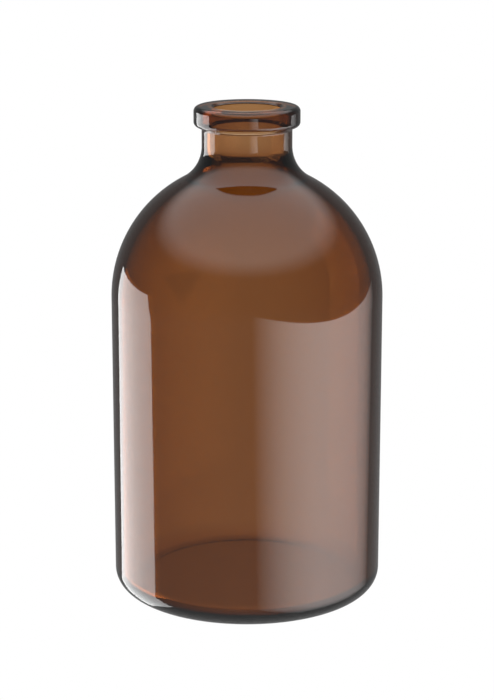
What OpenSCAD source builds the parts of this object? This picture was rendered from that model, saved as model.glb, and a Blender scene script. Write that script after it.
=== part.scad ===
// Moulded glass injection vial with a crimp-finish neck, empty and open.
// The whole vial is one piece of glass, turned from one section about its axis.
// Millimetres, +Z up, origin at the centre of the base on the surface it stands on.

/* [Body] */
// Outer diameter of the body
body_d = 51.6; // [46:0.1:60]
// Height from the surface it stands on to the sealing rim
height = 94.3; // [80:0.1:130]
// Thickness of the side wall
body_wall = 2.02; // [1.2:0.01:3]
// Thickness of the floor
floor_t = 2.1; // [1.4:0.05:4]
// Radius of the outer heel, between base and side wall
heel_r = 4.1; // [2:0.1:6]
// Radius inside, between floor and side wall
heel_inner_r = 2.4; // [1:0.1:6]
// Width of the flat ring that the vial stands on
ring_w = 1.2; // [0.6:0.1:4]
// Depth of the flat hollow under the base, inside that ring
punt_depth = 0.2; // [0.1:0.05:1.2]

/* [Shoulder] */
// Distance from the axis to the centre of the shoulder's arc
shoulder_x = 0.2; // [0:0.05:3]
// Distance from the axis to the centre of the shoulder's arc, inside
cavity_shoulder_x = 0.38; // [0:0.02:3]
// Radius of the hollow between shoulder and neck, outside
neck_fillet_r = 7.05; // [3:0.05:9]
// Radius of the turn from the shoulder into the neck, inside
neck_inner_fillet_r = 5.5; // [1:0.1:9]

/* [Neck] */
// Outer diameter of the neck
neck_d = 17; // [16.4:0.1:18]
// Diameter of the bore through the neck
neck_bore_d = 14; // [13.4:0.1:14.8]
// Height of the straight neck, from the hollow at its foot to the flange
neck_h = 3.58; // [2:0.02:8]

/* [Crimp flange] */
// Diameter of the flange that the crimp cap grips
flange_d = 20; // [19:0.1:22]
// Thickness of the flange
flange_t = 3.9; // [2.5:0.1:4.5]
// Radius of the flange's upper outer edge
flange_top_r = 1; // [0.2:0.05:1.2]
// Radius of the flange's lower outer edge
flange_bottom_r = 1; // [0.2:0.05:1.2]
// Radius of the hollow between flange and neck
flange_fillet_r = 0.65; // [0.2:0.05:1]
// Diameter of the mouth, through its lip
mouth_d = 12.6; // [12:0.1:13.2]
// Thickness of the lip
lip_t = 0.55; // [0.55:0.05:1.5]
// Width of the bevel on the lip's upper edge
bevel_w = 0.45; // [0.1:0.05:0.5]
// Height of that bevel
bevel_h = 0.43; // [0.1:0.01:0.45]
// Diameter of the groove behind the lip, which holds the stopper's plug
groove_d = 14.8; // [14:0.1:16]
// Height of that groove, from the neck's bore up to the lip
groove_h = 3.35; // [1:0.05:3.6]

/* [Hidden] */
$fn = 144;

// Length that a cut runs past the face it opens
over = 1;
// Depth by which the shoulder's arc and the hollow's arc overlap where they meet
overlap = 0.0001;

body_r = body_d / 2;
neck_r = neck_d / 2;
flange_r = flange_d / 2;
flange_z = height - flange_t;
punt_r = body_r - heel_r - ring_w;

// The inside stands off from the outside by the side wall and the floor
cavity_r = body_r - body_wall;
cavity_z = punt_depth + floor_t;
bore_r = neck_bore_d / 2;
mouth_bore_r = mouth_d / 2;
lip_z = height - lip_t;
groove_z = lip_z - groove_h;

// The side wall turns into the shoulder where the shoulder's arc then reaches the neck's foot
neck_z = flange_z - neck_h;
shoulder_z = neck_z - foot_rise(body_r - shoulder_x, shoulder_x, neck_fillet_r, neck_r);

// Rise from the centre of the shoulder's arc to that of the hollow at the neck's foot
function foot_rise(turn_r, turn_x, hollow_r, throat_r) =
    sqrt(pow(turn_r + hollow_r - overlap, 2) - pow(throat_r + hollow_r - turn_x, 2));

// Quarter disc of radius r about [x, z], open towards +x, above its centre or below it
module quarter(x, z, r, above = true) {
    intersection() {
        translate([x, z]) circle(r);
        translate([x, above ? z : z - 2 * r]) square(2 * r);
    }
}

// Block from the axis out to radius r, between two heights
module block(r, z0, z1) {
    translate([0, z0]) square([r, z1 - z0]);
}

// Half section of a bottle: heel arc, straight side, shoulder arc, hollow arc and neck
module bottle_section(r, z, foot_r, turn_x, hollow_r, throat_r, top_z) {
    turn_r = r - turn_x;
    hollow_x = throat_r + hollow_r;
    hollow_z = shoulder_z + foot_rise(turn_r, turn_x, hollow_r, throat_r);

    block(r - foot_r, z, z + foot_r);
    quarter(r - foot_r, z + foot_r, foot_r, above = false);
    block(r, z + foot_r, shoulder_z);
    quarter(turn_x, shoulder_z, turn_r);
    difference() {
        polygon([[0, shoulder_z], [turn_x, shoulder_z], [hollow_x, hollow_z], [0, hollow_z]]);
        translate([hollow_x, hollow_z]) circle(hollow_r);
    }
    block(throat_r, hollow_z, top_z);
}

// Half section of the flange, with both outer edges rounded and a hollow below it
module flange_section() {
    hollow_x = neck_r + flange_fillet_r;
    hollow_z = flange_z - flange_fillet_r;

    block(flange_r - flange_bottom_r, flange_z, flange_z + flange_bottom_r);
    quarter(flange_r - flange_bottom_r, flange_z + flange_bottom_r, flange_bottom_r, above = false);
    block(flange_r, flange_z + flange_bottom_r, height - flange_top_r);
    quarter(flange_r - flange_top_r, height - flange_top_r, flange_top_r);
    block(flange_r - flange_top_r, height - flange_top_r, height);
    difference() {
        block(hollow_x, hollow_z, flange_z);
        translate([hollow_x, hollow_z]) circle(flange_fillet_r);
    }
}

// Half section of the mouth, with the groove behind the lip and the lip's upper edge bevelled
module mouth_section() {
    rim_r = mouth_bore_r + bevel_w;

    block(groove_d / 2, groove_z, lip_z);
    block(mouth_bore_r, lip_z - over, height);
    polygon([[0, height - bevel_h], [mouth_bore_r, height - bevel_h], [rim_r, height], [0, height]]);
    block(rim_r, height, height + over);
}

module vial() {
    color([0.43, 0.25, 0.13, 0.75])
    rotate_extrude() {
        difference() {
            union() {
                bottle_section(body_r, 0, heel_r, shoulder_x, neck_fillet_r, neck_r, flange_z + over);
                flange_section();
            }
            bottle_section(cavity_r, cavity_z, heel_inner_r, cavity_shoulder_x,
                neck_inner_fillet_r, bore_r, groove_z + over);
            mouth_section();
            block(punt_r, -over, punt_depth);
        }
    }
}

vial();
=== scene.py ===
# A moulded amber glass vial, open and empty, on a plain white floor in a small studio.
# Metres, +Z up, origin at the centre of the base. The camera looks along +Y.
import math

import bpy
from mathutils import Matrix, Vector


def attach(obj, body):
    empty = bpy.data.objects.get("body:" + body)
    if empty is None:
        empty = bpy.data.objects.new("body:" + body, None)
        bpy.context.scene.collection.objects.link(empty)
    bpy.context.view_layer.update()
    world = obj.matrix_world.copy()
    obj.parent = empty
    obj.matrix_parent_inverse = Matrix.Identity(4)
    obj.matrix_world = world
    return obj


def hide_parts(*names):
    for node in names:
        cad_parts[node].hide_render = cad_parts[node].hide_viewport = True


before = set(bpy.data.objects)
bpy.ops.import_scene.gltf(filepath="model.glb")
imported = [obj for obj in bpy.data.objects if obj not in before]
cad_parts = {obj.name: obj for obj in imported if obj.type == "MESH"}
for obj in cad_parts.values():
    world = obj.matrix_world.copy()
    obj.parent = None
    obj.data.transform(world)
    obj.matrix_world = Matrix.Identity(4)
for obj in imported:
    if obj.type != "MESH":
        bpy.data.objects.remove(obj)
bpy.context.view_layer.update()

MM = 0.001

# Outside of the vial, as in the CAD model
HEIGHT = 94.3 * MM
BODY_R = 25.8 * MM
HEEL_R = 4.1 * MM
SHOULDER_X = 0.2 * MM
NECK_FILLET_R = 7.05 * MM
NECK_R = 8.5 * MM
NECK_H = 3.58 * MM
FLANGE_R = 10.0 * MM
FLANGE_T = 3.9 * MM
FLANGE_TOP_R = 1.0 * MM
FLANGE_BOTTOM_R = 1.0 * MM
FLANGE_FILLET_R = 0.65 * MM
PUNT_R = 20.5 * MM
PUNT_DEPTH = 0.2 * MM

# Inside of the vial
CAVITY_R = 23.78 * MM
FLOOR_Z = 2.3 * MM
HEEL_INNER_R = 2.4 * MM
CAVITY_SHOULDER_X = 0.38 * MM
NECK_INNER_FILLET_R = 5.5 * MM
NECK_BORE_R = 7.0 * MM
MOUTH_R = 6.3 * MM
LIP_T = 0.55 * MM
BEVEL_W = 0.45 * MM
BEVEL_H = 0.43 * MM
GROOVE_R = 7.4 * MM
GROOVE_Z = 90.4 * MM

FLANGE_Z = HEIGHT - FLANGE_T
NECK_Z = FLANGE_Z - NECK_H

# How finely the section is turned, and how far its arcs may stand off from true ones
SEGMENTS = 256
CHORD_ERROR = 0.001 * MM
LEAST_STEPS = 4
SAME_POINT = 1e-9

# Glass: per metre each colour fades by the density times one less the colour's value
GLASS_IOR = 1.51
ABSORPTION_COLOR = (0.6125, 0.371, 0.05, 1)
ABSORPTION_DENSITY = 1100

# Waviness of the glass's surface: waves per metre, layers of finer waves and depth
WAVE_SCALE = 45.0
WAVE_DETAIL = 1.0
WAVE_DEPTH = 0.02 * MM

# Levels of light in the studio are parts of the white background's, and its angles are degrees.
# A pair gives where a soft edge is dark and where it is fully lit.

# Room: its light everywhere, from straight below, and on the camera's side, more so low down
ROOM_LEVEL = 0.2
BELOW_LEVEL = 0.385
FRONT_LEVEL = 0.05
FRONT_LOW = (6, -14)
FRONT_LOW_LEVEL = 0.07
FRONT_LOWER = (-14, -24)
FRONT_LOWER_LEVEL = 0.15

# Round light overhead
OVERHEAD_EDGE = (25, 43)
OVERHEAD_LEVEL = 1.41

# Panel to the left, with its sizes as they are at a distance of one
PANEL_AZIMUTH = -114.2
PANEL_ELEVATION = -28.0
PANEL_SIDES = (0.484, 0.474)
PANEL_FOOT = (-0.40, -0.38)
PANEL_TOP = (0.0, -0.4)
PANEL_LEVEL = 4.0
NEARLY_BESIDE = 0.001

# Soft panel to the right: its middle, how far it reaches, and how round its fading is
GLOW_AZIMUTH = 62.0
GLOW_ELEVATION = -12.0
GLOW_LEFT = 58.0
GLOW_RIGHT = 71.0
GLOW_DOWN = 44.0
GLOW_ROUND = 1.5
GLOW_LEVEL = 3.95

# Curved upper edge of that panel: where it hangs lowest, how far, and how fast it rises
EDGE_AZIMUTH = 67.0
EDGE_SAG = 13.2
EDGE_BEND = 1.15
EDGE_SOFT = 0.3

# A ray that has been mirrored at least once sees the studio, and any other sees white
MIRRORED = 0.5

FLOOR_HALF = 3.0
FLOOR_DROP = 0.2 * MM

# Camera, with its focal length and the photo's height in pixels
CAMERA_F = 2127.0
CAMERA_DISTANCE = 408.3 * MM
CAMERA_ELEVATION = 14.59
CAMERA_TARGET_Z = 47.25 * MM
PHOTO_H = 700
SENSOR_MM = 36
CLIP_START = 0.01
CLIP_END = 20

# How often light may bounce in all, and how often it may be mirrored
MAX_BOUNCES = 16
MIRROR_BOUNCES = 4


def arc(centre, radius, start, end):
    """Points of an arc of the section with their outward normals, from one angle to another in degrees."""
    a, b = math.radians(start), math.radians(end)
    steps = max(LEAST_STEPS, math.ceil(abs(b - a) / (2 * math.acos(1 - CHORD_ERROR / radius))))
    side = 1 if b > a else -1
    out = []
    for i in range(steps + 1):
        t = a + (b - a) * i / steps
        c, s = math.cos(t), math.sin(t)
        out.append(((centre[0] + radius * c, centre[1] + radius * s), (side * c, side * s)))
    return out


def corner(r, z):
    """A corner of the section, or its end on the axis."""
    return [((r, z), (0, 0))]


def rise(turn_r, turn_x, hollow_r, throat_r):
    """Height from the centre of the shoulder's arc to that of the hollow at the neck's foot."""
    return math.sqrt((turn_r + hollow_r) ** 2 - (throat_r + hollow_r - turn_x) ** 2)


SHOULDER_Z = NECK_Z - rise(BODY_R - SHOULDER_X, SHOULDER_X, NECK_FILLET_R, NECK_R)


def shoulder(r, turn_x, hollow_r, throat_r):
    """Arcs from the side wall over the shoulder and through the hollow into the neck."""
    up = rise(r - turn_x, turn_x, hollow_r, throat_r)
    hollow = (throat_r + hollow_r, SHOULDER_Z + up)
    lean = math.degrees(math.atan2(up, hollow[0] - turn_x))
    return [arc((turn_x, SHOULDER_Z), r - turn_x, 0, lean), arc(hollow, hollow_r, 180 + lean, 180)]


def backwards(arcs):
    """The same arcs travelled the other way, with their normals turned round."""
    return [[(p, (-n[0], -n[1])) for p, n in reversed(a)] for a in reversed(arcs)]


def section():
    """The section from the underside's centre, up the outside, over the rim and down inside."""
    return [
        corner(0, PUNT_DEPTH),
        corner(PUNT_R, PUNT_DEPTH),
        corner(PUNT_R, 0),
        arc((BODY_R - HEEL_R, HEEL_R), HEEL_R, -90, 0),
        *shoulder(BODY_R, SHOULDER_X, NECK_FILLET_R, NECK_R),
        arc((NECK_R + FLANGE_FILLET_R, FLANGE_Z - FLANGE_FILLET_R), FLANGE_FILLET_R, 180, 90),
        arc((FLANGE_R - FLANGE_BOTTOM_R, FLANGE_Z + FLANGE_BOTTOM_R), FLANGE_BOTTOM_R, -90, 0),
        arc((FLANGE_R - FLANGE_TOP_R, HEIGHT - FLANGE_TOP_R), FLANGE_TOP_R, 0, 90),
        corner(MOUTH_R + BEVEL_W, HEIGHT),
        corner(MOUTH_R, HEIGHT - BEVEL_H),
        corner(MOUTH_R, HEIGHT - LIP_T),
        corner(GROOVE_R, HEIGHT - LIP_T),
        corner(GROOVE_R, GROOVE_Z),
        corner(NECK_BORE_R, GROOVE_Z),
        *backwards(shoulder(CAVITY_R, CAVITY_SHOULDER_X, NECK_INNER_FILLET_R, NECK_BORE_R)),
        arc((CAVITY_R - HEEL_INNER_R, FLOOR_Z + HEEL_INNER_R), HEEL_INNER_R, 0, -90),
        corner(0, FLOOR_Z),
    ]


def strips(arcs):
    """Rings of the turned section, and the strips between them with the normal at each side."""
    rings, found, last = [], [], None
    for points in arcs:
        for k, (point, normal) in enumerate(points):
            if not rings or math.dist(rings[-1], point) > SAME_POINT:
                rings.append(point)
            here = len(rings) - 1
            if k > 0:
                found.append((last[0], here, last[2], normal))
            elif last and here != last[0]:
                dr, dz = point[0] - last[1][0], point[1] - last[1][1]
                flat = (dz / math.hypot(dr, dz), -dr / math.hypot(dr, dz))
                found.append((last[0], here, flat, flat))
            last = (here, point, normal)
    return rings, found


def lathe(name, arcs):
    """Turns a section that starts and ends on the axis into a closed mesh with exact normals."""
    rings, found = strips(arcs)
    angles = [2 * math.pi * i / SEGMENTS for i in range(SEGMENTS)]
    turn = [(math.cos(a), math.sin(a)) for a in angles]
    verts, index = [], []
    for r, z in rings:
        count = SEGMENTS if r > 0 else 1
        index.append([len(verts) + i % count for i in range(SEGMENTS)])
        verts.extend((r * c, r * s, z) for c, s in turn[:count])
    faces, normals = [], []
    for low, high, n_low, n_high in found:
        for i in range(SEGMENTS):
            j = (i + 1) % SEGMENTS
            corners = {}
            for ring, side, n in ((low, i, n_low), (low, j, n_low), (high, j, n_high), (high, i, n_high)):
                corners.setdefault(index[ring][side], (n[0] * turn[side][0], n[0] * turn[side][1], n[1]))
            faces.append(list(corners))
            normals.extend(corners.values())
    mesh = bpy.data.meshes.new(name)
    mesh.from_pydata(verts, [], faces)
    mesh.shade_smooth()
    mesh.normals_split_custom_set(normals)
    obj = bpy.data.objects.new(name, mesh)
    bpy.context.scene.collection.objects.link(obj)
    return obj


class Nodes:
    """Short calls for making and joining shader nodes."""

    def __init__(self, tree):
        self.tree = tree
        tree.nodes.clear()

    def add(self, kind, **settings):
        node = self.tree.nodes.new(kind)
        for key, value in settings.items():
            setattr(node, key, value)
        return node

    def join(self, source, target):
        self.tree.links.new(source, target)

    def math(self, operation, *values):
        node = self.add("ShaderNodeMath", operation=operation)
        for socket, value in zip(node.inputs, values):
            if isinstance(value, (int, float)):
                socket.default_value = value
            else:
                self.join(value, socket)
        return node.outputs[0]

    def dot(self, vector, direction):
        node = self.add("ShaderNodeVectorMath", operation="DOT_PRODUCT")
        self.join(vector, node.inputs[0])
        node.inputs[1].default_value = direction
        return node.outputs["Value"]

    def ramp(self, value, low, high):
        """0 below low and 1 above high, with a smooth step between them; falls where low is above high."""
        node = self.add("ShaderNodeMapRange", interpolation_type="SMOOTHSTEP")
        self.join(value, node.inputs["Value"])
        node.inputs["From Min"].default_value = min(low, high)
        node.inputs["From Max"].default_value = max(low, high)
        node.inputs["To Min"].default_value = 0 if low < high else 1
        node.inputs["To Max"].default_value = 1 if low < high else 0
        return node.outputs[0]

    def mirrored(self):
        """1 for a ray that the glass has mirrored, and 0 for one seen directly or only through it."""
        path = self.add("ShaderNodeLightPath")
        return self.math("GREATER_THAN", path.outputs["Glossy Depth"], MIRRORED)


def glass_material():
    """Clear amber glass, darker the thicker it is, with the faint waviness that a mould leaves."""
    mat = bpy.data.materials.new("amber_glass")
    mat.use_nodes = True
    n = Nodes(mat.node_tree)
    out = n.add("ShaderNodeOutputMaterial")
    shader = n.add("ShaderNodeBsdfPrincipled")
    shader.inputs["Base Color"].default_value = (1, 1, 1, 1)
    shader.inputs["Roughness"].default_value = 0.0
    shader.inputs["IOR"].default_value = GLASS_IOR
    shader.inputs["Transmission Weight"].default_value = 1.0
    n.join(shader.outputs[0], out.inputs["Surface"])
    place = n.add("ShaderNodeTexCoord")
    waves = n.add("ShaderNodeTexNoise")
    waves.inputs["Scale"].default_value = WAVE_SCALE
    waves.inputs["Detail"].default_value = WAVE_DETAIL
    n.join(place.outputs["Object"], waves.inputs["Vector"])
    bump = n.add("ShaderNodeBump")
    bump.inputs["Strength"].default_value = 1.0
    bump.inputs["Distance"].default_value = WAVE_DEPTH
    n.join(waves.outputs[0], bump.inputs["Height"])
    n.join(bump.outputs["Normal"], shader.inputs["Normal"])
    volume = n.add("ShaderNodeVolumeAbsorption")
    volume.inputs["Color"].default_value = ABSORPTION_COLOR
    volume.inputs["Density"].default_value = ABSORPTION_DENSITY
    n.join(volume.outputs[0], out.inputs["Volume"])
    return mat


def direction(azimuth, elevation):
    """Unit vector from the vial: azimuth 0 is towards the camera and positive to its right."""
    a, e = math.radians(azimuth), math.radians(elevation)
    return Vector((math.sin(a) * math.cos(e), -math.cos(a) * math.cos(e), math.sin(e)))


class Sky:
    """The studio round the vial, as brightness by azimuth and elevation in degrees."""

    def __init__(self, n):
        self.n = n
        ray = n.add("ShaderNodeTexCoord").outputs["Generated"]
        split = n.add("ShaderNodeSeparateXYZ")
        n.join(ray, split.inputs[0])
        self.ray = ray
        self.z = split.outputs["Z"]
        self.front = n.math("MULTIPLY", split.outputs["Y"], -1.0)
        self.azimuth = n.math("DEGREES", n.math("ARCTAN2", split.outputs["X"], self.front))
        self.elevation = n.math("DEGREES", n.math("ARCSINE", self.z))

    def surroundings(self):
        """Dim room, lighter towards the floor and on the camera's side."""
        n = self.n
        down = n.math("MAXIMUM", n.math("MULTIPLY", self.z, -1.0), 0.0)
        below = n.math("MULTIPLY", n.math("MULTIPLY", down, down), BELOW_LEVEL)
        near = n.math("MULTIPLY_ADD", self.front, 0.5, 0.5)
        low = n.math("MULTIPLY", n.ramp(self.elevation, *FRONT_LOW), FRONT_LOW_LEVEL)
        lower = n.math("MULTIPLY", n.ramp(self.elevation, *FRONT_LOWER), FRONT_LOWER_LEVEL)
        front = n.math("MULTIPLY", near, n.math("ADD", n.math("ADD", low, lower), FRONT_LEVEL))
        return n.math("ADD", n.math("ADD", below, front), ROOM_LEVEL)

    def overhead(self):
        """Round light above the vial."""
        n = self.n
        return n.math("MULTIPLY", n.ramp(self.elevation, *OVERHEAD_EDGE), OVERHEAD_LEVEL)

    def left_panel(self):
        """Hard-edged panel to the left, from the vial's own height downwards."""
        n = self.n
        facing = direction(PANEL_AZIMUTH, PANEL_ELEVATION)
        side = facing.cross(Vector((0, 0, 1))).normalized()
        up = side.cross(facing)
        ahead = n.dot(self.ray, facing)
        depth = n.math("MAXIMUM", ahead, NEARLY_BESIDE)
        x = n.math("ABSOLUTE", n.math("DIVIDE", n.dot(self.ray, side), depth))
        y = n.math("DIVIDE", n.dot(self.ray, up), depth)
        mask = n.math("GREATER_THAN", ahead, NEARLY_BESIDE)
        for value, edge in ((x, PANEL_SIDES), (y, PANEL_FOOT), (self.elevation, PANEL_TOP)):
            mask = n.math("MULTIPLY", mask, n.ramp(value, *edge))
        return n.math("MULTIPLY", mask, PANEL_LEVEL)

    def right_glow(self):
        """Soft panel to the right, brightest in its middle, with a hard curved upper edge."""
        n = self.n
        turned = n.math("SUBTRACT", self.azimuth, GLOW_AZIMUTH)
        turned_back = n.math("MULTIPLY", turned, -1.0)
        left = n.math("DIVIDE", n.math("MAXIMUM", turned_back, 0.0), GLOW_LEFT)
        right = n.math("DIVIDE", n.math("MAXIMUM", turned, 0.0), GLOW_RIGHT)
        across = n.math("ADD", left, right)
        drop = n.math("SUBTRACT", GLOW_ELEVATION, self.elevation)
        below = n.math("DIVIDE", n.math("MAXIMUM", drop, 0.0), GLOW_DOWN)
        away = n.math("ADD", n.math("POWER", across, GLOW_ROUND), n.math("POWER", below, GLOW_ROUND))
        away = n.math("MINIMUM", n.math("POWER", away, 1 / GLOW_ROUND), 1.0)
        fade = n.math("COSINE", n.math("MULTIPLY", away, math.pi / 2))
        glow = n.math("MULTIPLY", fade, GLOW_LEVEL)
        along = n.math("MULTIPLY", n.math("SUBTRACT", self.azimuth, EDGE_AZIMUTH), EDGE_BEND)
        sag = n.math("MULTIPLY", n.math("COSINE", n.math("RADIANS", along)), EDGE_SAG)
        over_edge = n.math("ADD", self.elevation, sag)
        return n.math("MULTIPLY", glow, n.ramp(over_edge, EDGE_SOFT, -EDGE_SOFT))


def studio():
    """White behind everything that is seen directly, and the studio in what the glass mirrors."""
    world = bpy.data.worlds.new("studio")
    bpy.context.scene.world = world
    world.use_nodes = True
    n = Nodes(world.node_tree)
    sky = Sky(n)
    total = sky.surroundings()
    for light in (sky.overhead(), sky.left_panel(), sky.right_glow()):
        total = n.math("ADD", total, light)
    mirrored = n.mirrored()
    white = n.math("SUBTRACT", 1.0, mirrored)
    level = n.math("ADD", white, n.math("MULTIPLY", mirrored, total))
    back = n.add("ShaderNodeBackground")
    back.inputs["Color"].default_value = (1, 1, 1, 1)
    n.join(level, back.inputs["Strength"])
    out = n.add("ShaderNodeOutputWorld")
    n.join(back.outputs[0], out.inputs["Surface"])


def floor():
    """White floor, clear to what the glass mirrors."""
    mesh = bpy.data.meshes.new("floor")
    s, z = FLOOR_HALF, -FLOOR_DROP
    mesh.from_pydata([(-s, -s, z), (s, -s, z), (s, s, z), (-s, s, z)], [], [(0, 1, 2, 3)])
    obj = bpy.data.objects.new("floor", mesh)
    bpy.context.scene.collection.objects.link(obj)
    mat = bpy.data.materials.new("white_floor")
    mat.use_nodes = True
    n = Nodes(mat.node_tree)
    out = n.add("ShaderNodeOutputMaterial")
    lit = n.add("ShaderNodeEmission")
    clear = n.add("ShaderNodeBsdfTransparent")
    mix = n.add("ShaderNodeMixShader")
    n.join(n.mirrored(), mix.inputs["Fac"])
    n.join(lit.outputs[0], mix.inputs[1])
    n.join(clear.outputs[0], mix.inputs[2])
    n.join(mix.outputs[0], out.inputs["Surface"])
    mesh.materials.append(mat)


def camera():
    """Camera at the photo's place, looking at a point on the vial's axis."""
    data = bpy.data.cameras.new("camera")
    data.sensor_width = SENSOR_MM
    data.lens = CAMERA_F / PHOTO_H * data.sensor_width
    data.clip_start = CLIP_START
    data.clip_end = CLIP_END
    obj = bpy.data.objects.new("camera", data)
    bpy.context.scene.collection.objects.link(obj)
    target = Vector((0, 0, CAMERA_TARGET_Z))
    back = direction(0, CAMERA_ELEVATION)
    obj.location = target + back * CAMERA_DISTANCE
    obj.rotation_mode = "QUATERNION"
    obj.rotation_quaternion = (-back).to_track_quat("-Z", "Y")
    bpy.context.scene.camera = obj


camera()
vial = lathe("vial_glass", section())
vial.data.materials.append(glass_material())
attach(vial, "root")
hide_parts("vial")
floor()
studio()

scene = bpy.context.scene
scene.view_settings.view_transform = "Standard"
scene.cycles.max_bounces = MAX_BOUNCES
scene.cycles.glossy_bounces = MIRROR_BOUNCES
scene.cycles.transmission_bounces = MAX_BOUNCES
scene.cycles.transparent_max_bounces = MAX_BOUNCES
scene.cycles.sample_clamp_indirect = 0
scene.cycles.blur_glossy = 0
